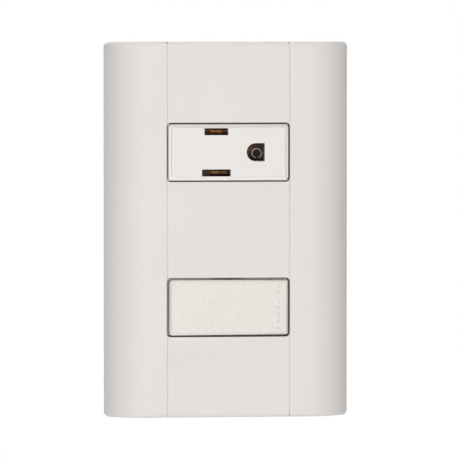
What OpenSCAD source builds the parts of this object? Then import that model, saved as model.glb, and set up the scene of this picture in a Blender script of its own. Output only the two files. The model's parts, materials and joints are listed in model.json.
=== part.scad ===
// Wall plate with one earthed socket module and one rocker switch module.
// X is to the right, Z is up and +Y goes into the wall, so the front looks along -Y.
// The origin lies in the wall plane, half way between the two box screws.

/* [Cover plate] */
// Width of the plate over both wings
plate_w = 75.6; // [72:0.2:82]
// Height of the plate
plate_h = 116.0; // [114:0.2:124]
// How far the flat front stands out from the wall
plate_depth = 9.4; // [8.8:0.1:11]
// Wall thickness of the moulding
plate_wall = 2.0; // [1.6:0.1:2.4]
// Distance between the two full-height grooves
seam_spacing = 37.9; // [37.5:0.1:39]
// Width of a groove
seam_w = 0.35; // [0.2:0.05:0.5]
// Depth of a groove
seam_depth = 0.7; // [0.3:0.05:0.9]
// Width of the curved part of a wing
wing_curve_w = 12.95; // [12:0.05:13.6]
// Radius of the wing's curve
wing_radius = 15.4; // [14.6:0.1:17]
// Corner radius of the outline
plate_corner_r = 1.5; // [1:0.1:2.5]
// Radius of the edge along the top and the bottom
plate_edge_r = 1.5; // [1:0.1:1.9]

/* [Windows] */
// Width of a module window
window_w = 38.3; // [37.6:0.1:38.8]
// Height of a module window
window_h = 18.3; // [17.4:0.1:18.8]
// Corner radius of a window
window_r = 1.3; // [0.8:0.1:2]
// Distance between neighbouring module places
module_pitch = 23.95; // [23.4:0.05:24.6]
// Gap between a module front and its window
front_gap = 0.6; // [0.4:0.05:0.7]

/* [Plate fixings] */
// Distance of the snap hooks from the sides of the frame
snap_inset = 4.4; // [4:0.1:5]
// Free height between a snap hook and the nearest module
snap_gap = 1.6; // [1:0.1:4]
// Width of a snap hook
snap_w = 6.0; // [4:0.5:8]
// Thickness of a snap hook's beam
snap_t = 1.4; // [1.2:0.1:1.6]
// How far a hook's barb stands out
barb = 0.7; // [0.5:0.1:0.8]
// Thickness of the stiffening ribs
rib_t = 1.2; // [0.8:0.1:1.6]
// Height of the ribs behind the blank middle
rib_h = 1.4; // [0.8:0.1:1.6]
// Number of gussets inside each wing
gusset_count = 4; // [2:1:6]
// Distance of the outer gussets from the plate's ends
gusset_inset = 9.3; // [6:0.1:14]

/* [Support frame] */
// Distance of the frame's sides from the plate's sides
frame_inset_x = 6.8; // [6.4:0.1:8]
// Distance of the frame's ends from the plate's ends
frame_inset_z = 4.7; // [3.5:0.1:6]
// Thickness of the frame's front skin
frame_skin = 1.8; // [1.4:0.1:2.2]
// Thickness of the frame's upright walls
frame_wall = 1.6; // [1.2:0.1:2]
// Width of the bar between two bays
bar_w = 1.6; // [1.2:0.1:2]
// Distance between the two box screws
screw_spacing = 83.5; // [81:0.5:86]
// Length of a box screw's slot
slot_len = 8.6; // [7:0.2:10]
// Diameter of a box screw's thread
box_screw_d = 3.5; // [3:0.1:4]
// Length of a box screw's shank
box_screw_len = 24; // [16:1:32]
// Diameter of a box screw's head
box_head_d = 6.6; // [6:0.1:7]
// Height of a box screw's head
box_head_h = 2.2; // [1.8:0.1:2.5]

/* [Module housings] */
// Width of the housing behind the flange
body_w = 35.5; // [35:0.1:36]
// Free space on each side between a housing and its bay
body_clear = 0.25; // [0.15:0.05:0.4]
// Width of the flange that rests on the frame
flange_w = 40; // [39.6:0.2:41]
// Height of the flange
flange_h = 23.2; // [22.6:0.1:23.3]
// Thickness of the flange
flange_t = 2.5; // [2:0.1:2.8]
// Wall thickness of the housings
housing_wall = 1.4; // [1.1:0.1:1.5]
// Depth behind the wall plane at which the front and rear housings meet
split_y = 1.0; // [0.6:0.1:2]
// Depth of the contact strips behind the wall plane
strip_level = 9.6; // [9.4:0.1:10.5]
// Thickness of the contact strips
strip_t = 0.8; // [0.6:0.05:1]
// Width of the contact strips
strip_w = 6.2; // [5.8:0.1:6.6]
// Distance of the terminals from the side of the housing
terminal_inset = 5.35; // [5:0.05:5.6]
// Diameter of a terminal screw's thread
terminal_d = 3.0; // [2.6:0.1:3.2]
// Diameter of a terminal screw's head
terminal_head_d = 5.0; // [4.6:0.1:5.2]
// Height of a terminal screw's head
terminal_head_h = 1.9; // [1.6:0.1:2.2]
// Thickness of a clamp plate
clamp_t = 1.0; // [0.8:0.1:1.2]
// Side of a square clamp plate
clamp_w = 5.1; // [4.8:0.1:5.2]
// Free height for the wires under a clamp plate
wire_gap = 1.5; // [1.2:0.1:2]
// Diameter of the screws that join the housings
joint_screw_d = 1.8; // [1.6:0.1:2]
// Diameter of their heads
joint_head_d = 3.4; // [3:0.1:3.6]

/* [Socket] */
// How far the socket's raised face stands out of the plate
face_proud = 0.6; // [0.4:0.1:1]
// Height of the raised face above the rim round it
face_step = 0.6; // [0.4:0.05:0.8]
// Width of the rim round the raised face
face_rim = 0.75; // [0.5:0.05:1]
// Thickness of the wall behind the raised face
face_wall = 2.4; // [2:0.1:2.6]
// Distance between the two blade slots
slot_spacing = 12.7; // [12.5:0.05:12.9]
// Distance of the blade slots from the middle line
slot_shift = 3.8; // [3.4:0.1:4]
// Length of the live slot
live_slot_w = 7.4; // [6.8:0.1:7.6]
// Length of the neutral slot
neutral_slot_w = 8.9; // [8.4:0.1:9.1]
// Height of both slots
slot_h = 2.15; // [1.8:0.05:2.3]
// Distance from the line of the slots to the earth hole
earth_offset = 12.2; // [11.9:0.05:12.3]
// Height of the earth hole
earth_hole_h = 5.6; // [5.2:0.05:5.8]
// Width of the earth hole, from its round side to its flat side
earth_hole_w = 5.6; // [5.2:0.05:5.8]
// Thickness of the spring leaves
leaf_t = 0.5; // [0.4:0.05:0.6]
// Width of the blade contacts
leaf_w = 6.4; // [5.6:0.1:6.8]
// How far the blade contacts sit off the middle of their slots, towards the earth hole
leaf_shift = 2.2; // [0:0.1:2.4]
// Space left between the leaves at their pinch
leaf_pinch = 0.9; // [0.7:0.05:1.2]
// Space between the leaves at their mouth
leaf_mouth = 2.3; // [2.1:0.05:2.5]
// Depth of the earth strip behind the wall plane
earth_level = 12.8; // [12.4:0.1:13.4]
// Space left between the leaves of the earth contact
earth_pinch = 4.4; // [4.3:0.05:4.6]
// Width of the earth contact's leaves
earth_leaf_w = 5.0; // [4.4:0.1:5.4]
// Outer diameter of the tubular rivet in the earth strip
eyelet_d = 3.3; // [3:0.1:3.6]
// Wall thickness of that rivet
eyelet_wall = 0.35; // [0.25:0.05:0.45]
// Width of the seam that leaves the rivet open
eyelet_split = 0.6; // [0.4:0.1:0.8]
// Depth of the socket's rear housing behind the wall plane
socket_back = 18.5; // [18.2:0.1:21]

/* [Switch] */
// How far the key stands out of the plate at the pivot line
key_proud = 1.0; // [0.9:0.1:1.6]
// Depth of the pivot behind the plate's front
pivot_depth = 2.4; // [2.3:0.1:2.6]
// Half of the key's travel
key_angle = 2.8; // [2.4:0.1:3.6]
// Radius of the key's front edges
key_edge_r = 1.2; // [0.8:0.1:1.6]
// Thickness of the key's front wall
key_wall = 1.4; // [1.2:0.1:1.5]
// Thickness of the key's skirt
key_skirt = 1.2; // [1:0.1:1.3]
// Depth of the key's skirt from front to back
key_depth = 3.6; // [3.2:0.1:3.7]
// Diameter of the trunnions
trunnion_d = 2.6; // [2.2:0.1:2.7]
// Radial clearance of the trunnions in their bearings
trunnion_clear = 0.05; // [0.02:0.01:0.1]
// Number of raised pips
pip_count = 7; // [5:1:9]
// Distance between the pips
pip_pitch = 2.18; // [1.6:0.02:2.2]
// Diameter of a pip at the key's face
pip_d = 0.95; // [0.7:0.05:1.1]
// Height of a pip
pip_rise = 0.3; // [0.2:0.05:0.4]
// Distance of the pips from the middle line
pip_x = 15.2; // [14:0.1:15.6]
// Thickness of the well's floor under the key
well_floor = 0.8; // [0.6:0.1:0.9]
// Half length of the opening for the key's stem
stem_room = 4.6; // [4.4:0.1:5]
// Outer diameter of the stem
stem_d = 5.2; // [4.8:0.1:5.6]
// Diameter of the plunger's guide
plunger_d = 3.3; // [3:0.1:3.4]
// Radial clearance of the plunger in the stem
plunger_clear = 0.1; // [0.05:0.01:0.15]
// Diameter of the plunger's nose
nose_d = 2.4; // [2:0.1:2.8]
// Running gap between the nose and the seesaw, half way through the travel
nose_gap = 0.05; // [0.02:0.01:0.1]
// Wire diameter of the plunger's spring
spring_wire = 0.4; // [0.3:0.05:0.5]
// Turns of the plunger's spring
spring_turns = 5; // [4:1:7]
// Length of the plunger's spring
spring_len = 4.0; // [3.6:0.1:4.4]
// Distance of the seesaw's knife edge from the wall plane
knife_y = 6.2; // [6:0.1:6.4]
// Half of the seesaw's travel
seesaw_angle = 5.6; // [4.8:0.2:7.2]
// Thickness of the seesaw
seesaw_t = 0.8; // [0.7:0.05:0.9]
// Width of the seesaw
seesaw_w = 6.0; // [5:0.2:6.6]
// Length of the seesaw's arm without a tip
arm_free = 8.4; // [7.6:0.1:8.8]
// Distance of the moving tip from the knife edge
tip_x = 7.8; // [7.2:0.1:8]
// Diameter of the silver tips
tip_d = 3.2; // [2.8:0.1:3.4]
// Height of the moving tip
tip_h = 0.8; // [0.6:0.1:1]
// Gap that is left between the closed tips
tip_gap = 0.12; // [0.05:0.01:0.2]
// Radius of the knife edge
knife_r = 0.5; // [0.4:0.05:0.6]
// Depth of the switch's rear housing behind the wall plane
switch_back = 16.0; // [15.6:0.1:18]

/* [Hidden] */

$fn = 48;
// Small overshoot of a cut past the face it opens
past = 1;
// Small play between fixed pieces that are slid together
play = 0.05;

// Depths, front to back
plate_front = -plate_depth;
plate_inside = plate_front + plate_wall;
flange_gap = 0.3;
flange_r = 0.8;
flange_front = plate_inside + flange_gap;
frame_front = flange_front + flange_t;
skin_back = frame_front + frame_skin;
face_y = plate_front - face_proud;
rim_y = face_y + face_step;
face_edge_r = 0.36;
face_inside = face_y + face_wall;
key_y = plate_front - key_proud;
pivot_y = plate_front + pivot_depth;

// Wings
wing_start = plate_w / 2 - wing_curve_w;
wing_axis_y = plate_front + wing_radius;

// Frame and bays
frame_w = plate_w - 2 * frame_inset_x;
frame_h = plate_h - 2 * frame_inset_z;
bay_w = body_w + 2 * body_clear;
bay_h = module_pitch - bar_w;
body_h = bay_h - 2 * body_clear;
frame_r = 3;
seat_depth = 1.0;
seat_y = frame_front + seat_depth;
neck_step = 0.3;
neck_end = 0.4;
screw_play = 0.3;
seat_extra = 3.8;
head_play = 0.4;
pad_margin = 2;
snap_x = frame_w / 2 - snap_inset;
snap_z = module_pitch + flange_h / 2 + snap_gap + snap_w / 2;
snap_clear = 0.3;
barb_y = -2.9;
barb_land = 0.4;
hook_end = -1.2;
latch_w = 8;
latch_y = [-2.6, -0.8];
latch_reach = 1.1;
latch_clear = 0.2;
latch_root = 0.2;
rib_overhang = 2.6;
gusset_end = -1;
gusset_gap = 0.4;

// Module fronts
front_w = window_w - 2 * front_gap;
front_h = window_h - 2 * front_gap;
front_r = window_r - front_gap / 2;
socket_z = module_pitch;
switch_z = -module_pitch;

// Socket layout
slot_x = -slot_shift;
slot_z = slot_spacing / 2;
leaf_x = slot_x + leaf_shift;
earth_x = slot_x + earth_offset;
pin_shift = 0.1;
pin_x = earth_x - pin_shift;
terminal_x = body_w / 2 - terminal_inset;
strip_front = strip_level - strip_t;
earth_front = earth_level - strip_t;
leaf_inset = 0.4;
leaf_start = face_inside + leaf_inset;
leaf_lead = 3;
leaf_relief = 0.25;
pocket_gap = 0.2;
terminal_pocket = clamp_w + 2 * pocket_gap;
strip_end = terminal_x + strip_w / 2 + 0.6;
terminal_reach = 2.6;
housing_screw_x = 3.0;
housing_screw_z = 7.6;
housing_head_h = 1.4;
housing_sink = 2.2;
housing_reach = 3.6;
leaf_room = 0.7;
clamp_r = 0.5;
clamp_clear = 0.15;
groove_inset = 0.9;
groove_r = 0.35;
wire_lip = 0.3;
rear_step = 0.8;
rear_r = 1;
earth_bow = 0.35;
earth_room = earth_pinch / 2 + earth_bow + leaf_t + leaf_room / 2;
eyelet_x = 11.25;
eyelet_z = -0.85;
eyelet_rise = 0.6;
eyelet_depth = 1.8;

// Switch layout
cheek_r = trunnion_d / 2 + 0.4;
bearing_r = trunnion_d / 2 + trunnion_clear;
bearing_t = 1.2;
bearing_gap = 0.7;
bearing_wall = 0.45;
bearing_foot = 0.6;
trunnion_short = 0.15;
skirt_in_z = front_h / 2 - key_skirt;
bearing_out = skirt_in_z - bearing_gap;
well_floor_y = frame_front - well_floor;
well_gap = 0.3;
cavity_y = skin_back;
seesaw_seat = 0.6;
seesaw_r = 1.2;
knife_clear = 0.08;
upright_short = 0.9;
common_end = 2;
seesaw_top = knife_y - knife_r - seesaw_seat;
nose_end = seesaw_top - nose_gap;
nose_y = nose_end - nose_d / 2;
stem_end = -1.5;
guide_y = [-4.6, -0.6];
chamber_room = 2;
chamber_w = seesaw_w + 2 * chamber_room;
boss_r = 2;
pilot_y = -4;
key_rib_x = 11;
key_rib_t = 1.0;
key_rib_h = 1.3;
switch_screw_x = 7.0;
switch_screw_z = 7.9;
tip_end = seesaw_top + seesaw_t + tip_h;
tip_dome = tip_h / 2;
tip_ball = (tip_d * tip_d / 4 + tip_dome * tip_dome) / (2 * tip_dome);
tip_face = knife_y + tip_x * sin(seesaw_angle) + (tip_end - tip_ball - knife_y) * cos(seesaw_angle)
    + tip_ball + tip_gap;

// Colours
white = [0.90, 0.88, 0.86];
frame_grey = [0.80, 0.80, 0.79];
base_grey = [0.86, 0.85, 0.82];
bronze = [0.72, 0.43, 0.20];
brass = [0.80, 0.66, 0.33];
steel = [0.74, 0.75, 0.77];
silver = [0.85, 0.85, 0.84];
earth_green = [0.25, 0.55, 0.32];

// General shapes

// Box between two values on each axis
module block(x, y, z) {
    translate([x[0], y[0], z[0]]) cube([x[1] - x[0], y[1] - y[0], z[1] - z[0]]);
}

// Flat rectangle between two values on each axis
module rectangle(x, y) {
    translate([x[0], y[0]]) square([x[1] - x[0], y[1] - y[0]]);
}

// Rectangle about the origin with round corners
module round_rect(w, h, r) {
    square([w - 2 * r, h], center = true);
    square([w, h - 2 * r], center = true);
    for (x = [-1, 1], y = [-1, 1]) {
        translate([x * (w / 2 - r), y * (h / 2 - r)]) circle(r);
    }
}

// Slot about the origin, along X, with round ends
module round_slot(len, h) {
    square([len - h, h], center = true);
    for (x = [-1, 1]) translate([x * (len - h) / 2, 0]) circle(h / 2);
}

// A drawing in X and Z, made solid from one depth to another
module seen_from_front(y) {
    translate([0, y[1], 0]) rotate([90, 0, 0]) linear_extrude(y[1] - y[0]) children();
}

// A drawing in Y and Z, made solid from one X to another
module seen_from_side(x) {
    translate([x[0], 0, 0]) rotate([90, 0, 90]) linear_extrude(x[1] - x[0]) children();
}

// A drawing in X and Y, made solid from one Z to another
module seen_from_top(z) {
    translate([0, 0, z[0]]) linear_extrude(z[1] - z[0]) children();
}

// Round rod along Y
module rod_y(r, y) {
    translate([0, y[1], 0]) rotate([90, 0, 0]) cylinder(h = y[1] - y[0], r = r);
}

// Rectangle that reaches from zero to a depth, with its two far corners rounded
module edge_profile(depth, half_h, r) {
    if (r > 0) {
        rectangle([0, depth - r], [-half_h, half_h]);
        rectangle([0, depth], [r - half_h, half_h - r]);
        for (s = [-1, 1]) translate([depth - r, s * (half_h - r)]) circle(r);
    } else {
        rectangle([0, depth], [-half_h, half_h]);
    }
}

// Block whose front edges and front corners are rounded
module soft_block(w, h, corner_r, edge_r, y) {
    deep = y[1] - y[0] + past;
    intersection() {
        seen_from_front(y) round_rect(w, h, corner_r);
        seen_from_side([-w / 2 - past, w / 2 + past])
            translate([y[1] + past, 0]) mirror([1, 0]) edge_profile(deep, h / 2, edge_r);
        seen_from_top([-h / 2 - past, h / 2 + past])
            translate([0, y[1] + past]) rotate(-90) edge_profile(deep, w / 2, edge_r);
    }
}

// Pan-head screw along +Y, its seat at the origin, with a slot across the head
// and, where it has one, a thinner neck between the head and the thread
module pan_screw(head_d, head_h, shank_d, len, slot_angle, neck = 0) {
    dome = head_h * 0.35;
    tip = shank_d / 4;
    slot_w = head_h * 0.4;
    slot_floor = -head_h * 0.5;
    difference() {
        union() {
            rod_y(head_d / 2 - dome, [-head_h, 0]);
            rod_y(head_d / 2, [dome - head_h, 0]);
            translate([0, dome - head_h, 0]) rotate([90, 0, 0])
                rotate_extrude() translate([head_d / 2 - dome, 0]) circle(dome);
            if (neck > 0) rod_y(shank_d / 2 - neck_step, [-play, neck + play]);
            rod_y(shank_d / 2, [neck, len - tip]);
            translate([0, len, 0]) rotate([90, 0, 0]) cylinder(h = tip, r1 = shank_d / 2 - tip, r2 = shank_d / 2);
        }
        rotate([0, slot_angle, 0])
            block([-head_d, head_d], [-head_h - past, slot_floor], [-slot_w / 2, slot_w / 2]);
    }
}

// Cover plate

// Outer form of the plate, shrunk by an inset and open at the back
module plate_form(inset, back) {
    half_h = plate_h / 2 - inset;
    edge_r = max(plate_edge_r - inset, 0);
    corner_r = max(plate_corner_r - inset, 0.3);
    intersection() {
        union() {
            seen_from_side([-wing_start, wing_start]) translate([back, 0]) mirror([1, 0])
                edge_profile(back - plate_front - inset, half_h, edge_r);
            for (side = [-1, 1]) {
                translate([side * wing_start, wing_axis_y, 0]) rotate_extrude($fn = 120)
                    edge_profile(wing_radius - inset, half_h, edge_r);
            }
        }
        seen_from_front([plate_front - past, back])
            round_rect(plate_w - 2 * inset, plate_h - 2 * inset, corner_r);
    }
}

// One groove over the front, the top edge and the bottom edge
module seam_cut(x) {
    difference() {
        block([x - seam_w / 2, x + seam_w / 2], [plate_front - past, past], [-plate_h, plate_h]);
        plate_form(seam_depth, past);
    }
}

// Beam with a barb that clicks behind the frame
module snap_hook() {
    seen_from_top([-snap_w / 2, snap_w / 2]) polygon([
        [-snap_t / 2, plate_inside - plate_wall / 2],
        [snap_t / 2, plate_inside - plate_wall / 2],
        [snap_t / 2, barb_y],
        [snap_t / 2 + barb, barb_y],
        [snap_t / 2 + barb, barb_y + barb_land],
        [snap_t / 2, hook_end],
        [-snap_t / 2, hook_end]
    ]);
}

module cover_plate() color(white) {
    difference() {
        plate_form(0, 0);
        plate_form(plate_wall, past);
        for (z = [socket_z, switch_z]) {
            translate([0, 0, z]) seen_from_front([plate_front - past, plate_inside + past])
                round_rect(window_w, window_h, window_r);
        }
        for (side = [-1, 1]) seam_cut(side * seam_spacing / 2);
    }
    for (side = [-1, 1], z = [-snap_z, snap_z]) {
        translate([side * snap_x, 0, z]) mirror([side < 0 ? 1 : 0, 0, 0]) snap_hook();
    }
    // Ribs behind the blank middle
    rib_z = module_pitch - flange_h / 2 - rib_t;
    rib_x = flange_w / 2 + rib_overhang;
    for (z = [-rib_z, 0, rib_z]) {
        block([-rib_x, rib_x], [plate_inside - play, plate_inside + rib_h], [z - rib_t / 2, z + rib_t / 2]);
    }
    // Gussets inside the wings
    gusset_span = plate_h - 2 * gusset_inset;
    for (side = [-1, 1], i = [0 : gusset_count - 1]) {
        intersection() {
            plate_form(plate_wall / 2, 0);
            translate([0, 0, gusset_span * (i / (gusset_count - 1) - 0.5)]) mirror([side < 0 ? 1 : 0, 0, 0])
                block([frame_w / 2 + gusset_gap, plate_w / 2], [plate_front, gusset_end], [-rib_t / 2, rib_t / 2]);
        }
    }
}

// Support frame

module bay_cut(z) {
    translate([0, 0, z]) seen_from_front([frame_front - past, past])
        square([bay_w, bay_h], center = true);
}

module frame_walls() {
    // Rim round the outside, walls round the bays, and pads round the screws and hooks
    difference() {
        seen_from_front([frame_front, 0]) round_rect(frame_w, frame_h, frame_r);
        seen_from_front([skin_back, past])
            round_rect(frame_w - 2 * frame_wall, frame_h - 2 * frame_wall, frame_r - frame_wall);
    }
    wall_h = 3 * module_pitch - bar_w + 2 * frame_wall;
    block([-bay_w / 2 - frame_wall, bay_w / 2 + frame_wall], [frame_front, 0], [-wall_h / 2, wall_h / 2]);
    for (end = [-1, 1]) {
        translate([0, 0, end * screw_spacing / 2]) seen_from_front([frame_front, 0])
            round_rect(slot_len + seat_extra + 2 * pad_margin, box_head_d + 2 * pad_margin, pad_margin);
        for (side = [-1, 1]) {
            translate([side * snap_x, 0, end * snap_z]) seen_from_front([frame_front, 0])
                square([snap_t + 2 * (barb + pad_margin), snap_w + 2 * pad_margin], center = true);
        }
    }
}

// Opening for a snap hook, wider behind the ledge that the barb catches
module snap_cut() {
    half_w = snap_w / 2 + snap_clear;
    ledge = barb_y - snap_clear;
    block([-snap_t / 2 - snap_clear, snap_t / 2 + snap_clear], [frame_front - past, past], [-half_w, half_w]);
    block([-snap_t / 2 - snap_clear, snap_t / 2 + barb + snap_clear], [ledge, past], [-half_w, half_w]);
}

module support_frame() color(frame_grey) {
    difference() {
        frame_walls();
        for (z = [-module_pitch, 0, module_pitch]) bay_cut(z);
        for (end = [-1, 1]) {
            translate([0, 0, end * screw_spacing / 2]) {
                seen_from_front([frame_front - past, past]) round_slot(slot_len, box_screw_d + 2 * screw_play);
                seen_from_front([frame_front - past, seat_y])
                    round_slot(slot_len + seat_extra, box_head_d + 2 * head_play);
            }
            for (side = [-1, 1]) {
                translate([side * snap_x, 0, end * snap_z]) mirror([side < 0 ? 1 : 0, 0, 0]) snap_cut();
            }
        }
        // Windows for the modules' latches
        for (z = [-module_pitch, 0, module_pitch]) {
            block([-bay_w / 2 - frame_wall - past, bay_w / 2 + frame_wall + past],
                [latch_y[0] - latch_clear, latch_y[1] + latch_clear],
                [z - latch_w / 2 - latch_clear, z + latch_w / 2 + latch_clear]);
        }
    }
}

module box_screws() color(steel) {
    for (end = [-1, 1]) {
        translate([0, seat_y, end * screw_spacing / 2])
            pan_screw(box_head_d, box_head_h, box_screw_d, box_screw_len, 12 * end, neck_end - seat_y);
    }
}

// Shared housing shapes

// Wedges on both sides that click into the frame's windows
module latches() {
    for (side = [-1, 1]) {
        mirror([side < 0 ? 1 : 0, 0, 0]) seen_from_top([-latch_w / 2, latch_w / 2]) polygon([
            [body_w / 2 - latch_root, latch_y[0]],
            [body_w / 2 + latch_reach, latch_y[0]],
            [body_w / 2 + latch_reach, latch_y[0] + barb_land],
            [body_w / 2, latch_y[1]],
            [body_w / 2 - latch_root, latch_y[1]]
        ]);
    }
}

// Recess for a terminal screw and its clamp plate, with a wire way out to one side
module terminal_cut(x, z, level, back, out) {
    half = terminal_pocket / 2;
    translate([x, 0, z]) block([-half, half], [level, back + past], [-half, half]);
    wire_z = out > 0 ? [z, body_h / 2 + past] : [-body_h / 2 - past, z];
    block([x - half + wire_lip, x + half - wire_lip], [level, level + wire_gap + clamp_t + wire_lip], wire_z);
}

// Rear housing: outline with a stepped rear edge
module rear_block(back) {
    seen_from_front([split_y, back - rear_step]) round_rect(body_w, body_h, rear_r);
    seen_from_front([back - rear_step - play, back])
        round_rect(body_w - 2 * rear_step, body_h - 2 * rear_step, rear_r);
}

// Hole and counterbore of a housing screw
module housing_screw_cut(x, z, back) {
    translate([x, 0, z]) {
        rod_y(joint_screw_d / 2 + play, [split_y - past, back + past]);
        rod_y(joint_head_d / 2 + pocket_gap, [back - housing_sink, back + past]);
    }
}

module housing_screw(x, z, back) {
    seat = back - housing_sink;
    translate([x, seat, z]) rotate([180, 0, 0])
        pan_screw(joint_head_d, housing_head_h, joint_screw_d, seat + housing_reach, 25);
}

module terminal_screw(x, z, level, turn) {
    seat = level + wire_gap + clamp_t;
    translate([x, seat, z]) rotate([180, 0, 0])
        pan_screw(terminal_head_d, terminal_head_h, terminal_d, wire_gap + clamp_t + strip_t + terminal_reach, turn);
}

module clamp_plate(x, z, level) {
    translate([x, 0, z]) difference() {
        seen_from_front([level + wire_gap, level + wire_gap + clamp_t]) round_rect(clamp_w, clamp_w, clamp_r);
        rod_y(terminal_d / 2 + clamp_clear, [level, level + wire_gap + clamp_t + past]);
        // Two wire grooves in the gripping face
        for (s = [-1, 1]) {
            translate([s * (clamp_w / 2 - groove_inset), level + wire_gap, 0])
                cylinder(h = clamp_w + past, r = groove_r, center = true);
        }
    }
}

// Clearance hole for a terminal screw through a strip
module terminal_hole(x, z, level) {
    translate([x, 0, z]) rod_y(terminal_d / 2 + play, [level - strip_t - past, level + past]);
}

// Socket module, drawn about its own middle

// Round-sided earth hole with a flat side to the right
module earth_outline(grow) {
    r = earth_hole_h / 2 + grow;
    circle(r);
    rectangle([0, earth_hole_w - earth_hole_h / 2 + grow], [-r, r]);
}

// Room for a pair of blade leaves
module leaf_pocket(z, y) {
    half_z = leaf_mouth / 2 + leaf_t + pocket_gap;
    block([slot_x - neutral_slot_w / 2 - pocket_gap, leaf_x + leaf_w / 2 + pocket_gap], y,
        [z - half_z, z + half_z]);
}

module socket_cover() color(white) translate([0, 0, socket_z]) {
    difference() {
        union() {
            seen_from_front([rim_y, flange_front + play]) round_rect(front_w, front_h, front_r);
            soft_block(front_w - 2 * face_rim, front_h - 2 * face_rim, front_r, face_edge_r,
                [face_y, rim_y + play]);
            seen_from_front([flange_front, frame_front]) round_rect(flange_w, flange_h, flange_r);
            seen_from_front([frame_front - play, split_y]) square([body_w, body_h], center = true);
            latches();
        }
        // Blade slots and earth hole
        for (s = [[1, live_slot_w], [-1, neutral_slot_w]]) {
            translate([slot_x, 0, s[0] * slot_z]) seen_from_front([face_y - past, face_inside + past])
                square([s[1], slot_h], center = true);
        }
        translate([earth_x, 0, 0]) seen_from_front([face_y - past, face_inside + past]) earth_outline(0);
        // Chambers for the contacts
        for (s = [-1, 1]) leaf_pocket(s * slot_z, [face_inside, split_y + past]);
        block([pin_x - earth_leaf_w / 2 - leaf_room, eyelet_x + eyelet_d / 2 + pocket_gap],
            [face_inside, split_y + past], [-earth_room, earth_room]);
        // Hollow ends that keep the moulding's walls even
        left_hollow = [housing_wall - body_w / 2, slot_x - neutral_slot_w / 2 - housing_wall];
        right_hollow = [terminal_x + housing_wall / 2, body_w / 2 - housing_wall];
        for (x = [left_hollow, right_hollow]) {
            block(x, [face_inside, split_y + past], [housing_wall - front_h / 2, front_h / 2 - housing_wall]);
        }
        for (z = [-housing_screw_z, housing_screw_z]) {
            translate([housing_screw_x, 0, z]) rod_y(joint_screw_d / 2 + play, [frame_front, split_y + past]);
        }
    }
}

module socket_base() color(base_grey) translate([0, 0, socket_z]) {
    strip_z = strip_w / 2 + pocket_gap;
    difference() {
        rear_block(socket_back);
        for (s = [-1, 1]) {
            leaf_pocket(s * slot_z, [split_y - past, strip_level]);
            block([-strip_end - pocket_gap, leaf_x + leaf_w / 2 + pocket_gap], [split_y - past, strip_level],
                [s * slot_z - strip_z, s * slot_z + strip_z]);
            terminal_cut(-terminal_x, s * slot_z, strip_level, socket_back, s);
            housing_screw_cut(housing_screw_x, s * housing_screw_z, socket_back);
        }
        // Earth contact: its clip, and the strip that turns up to its terminal
        block([pin_x - earth_leaf_w / 2 - leaf_room, terminal_x], [split_y - past, earth_level], [-earth_room, earth_room]);
        block([terminal_x - strip_z, strip_end + pocket_gap], [split_y - past, earth_level], [-earth_room, slot_z + strip_z]);
        terminal_cut(terminal_x, slot_z, earth_level, socket_back, 1);
        translate([eyelet_x, 0, eyelet_z]) rod_y(eyelet_d / 2 + play, [earth_level - past, earth_level + eyelet_depth + pocket_gap]);
    }
}

// One spring leaf of a blade contact, drawn in Y and Z above the blade's middle plane
module leaf_drawing(start, pinch_y, mouth, pinch, web, base_z) {
    bend_y = pinch_y + leaf_lead;
    bend_z = pinch + leaf_relief;
    polygon([
        [start, mouth],
        [pinch_y, pinch],
        [bend_y, bend_z],
        [web, base_z],
        [web, base_z + leaf_t],
        [bend_y, bend_z + leaf_t],
        [pinch_y, pinch + leaf_t],
        [start, mouth + leaf_t]
    ]);
}

// Folded contact for one blade: two leaves, their web and the strip to the terminal
module blade_contact(side) {
    translate([0, 0, side * slot_z]) difference() {
        union() {
            for (s = [0, 1]) mirror([0, 0, s]) seen_from_side([leaf_x - leaf_w / 2, leaf_x + leaf_w / 2])
                leaf_drawing(leaf_start, leaf_start + leaf_lead, leaf_mouth / 2, leaf_pinch / 2, strip_front + play, leaf_mouth / 2);
            block([-strip_end, leaf_x + leaf_w / 2], [strip_front, strip_level], [-strip_w / 2, strip_w / 2]);
        }
        terminal_hole(-terminal_x, 0, strip_level);
    }
}

module live_contact() color(bronze) translate([0, 0, socket_z]) blade_contact(1);

module neutral_contact() color(bronze) translate([0, 0, socket_z]) blade_contact(-1);

module earth_contact() color(bronze) translate([0, 0, socket_z]) {
    half = earth_pinch / 2;
    difference() {
        union() {
            for (s = [0, 1]) mirror([0, 0, s]) seen_from_side([pin_x - earth_leaf_w / 2, pin_x + earth_leaf_w / 2])
                leaf_drawing(leaf_start, leaf_start + leaf_lead, half + earth_bow, half, earth_front + play, half + earth_bow);
            // L-shaped strip: floor of the clip, then up to the terminal
            seen_from_front([earth_front, earth_level]) {
                floor_z = half + leaf_t + earth_bow;
                rectangle([pin_x - earth_leaf_w / 2, strip_end], [-floor_z, floor_z]);
                rectangle([terminal_x - strip_w / 2, strip_end], [0, slot_z + strip_w / 2]);
            }
        }
        terminal_hole(terminal_x, slot_z, earth_level);
        translate([eyelet_x, 0, eyelet_z]) rod_y(eyelet_d / 2 + play, [earth_front - past, earth_level + past]);
    }
}

// Split tubular rivet that holds the earth strip on the housing's floor
module earth_eyelet() color(silver) translate([eyelet_x, 0, socket_z + eyelet_z]) {
    rim = [earth_front - eyelet_rise, earth_level + eyelet_depth];
    difference() {
        rod_y(eyelet_d / 2, rim);
        rod_y(eyelet_d / 2 - eyelet_wall, [rim[0] - past, rim[1] + past]);
        block([-eyelet_split / 2, eyelet_split / 2], [rim[0] - past, rim[1] + past], [-eyelet_d, 0]);
    }
}

module socket_terminal_screws() color(brass) translate([0, 0, socket_z]) {
    for (s = [-1, 1]) terminal_screw(-terminal_x, s * slot_z, strip_level, 35 * s);
}

module earth_terminal_screw() color(earth_green) translate([0, 0, socket_z]) {
    terminal_screw(terminal_x, slot_z, earth_level, 70);
}

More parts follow.
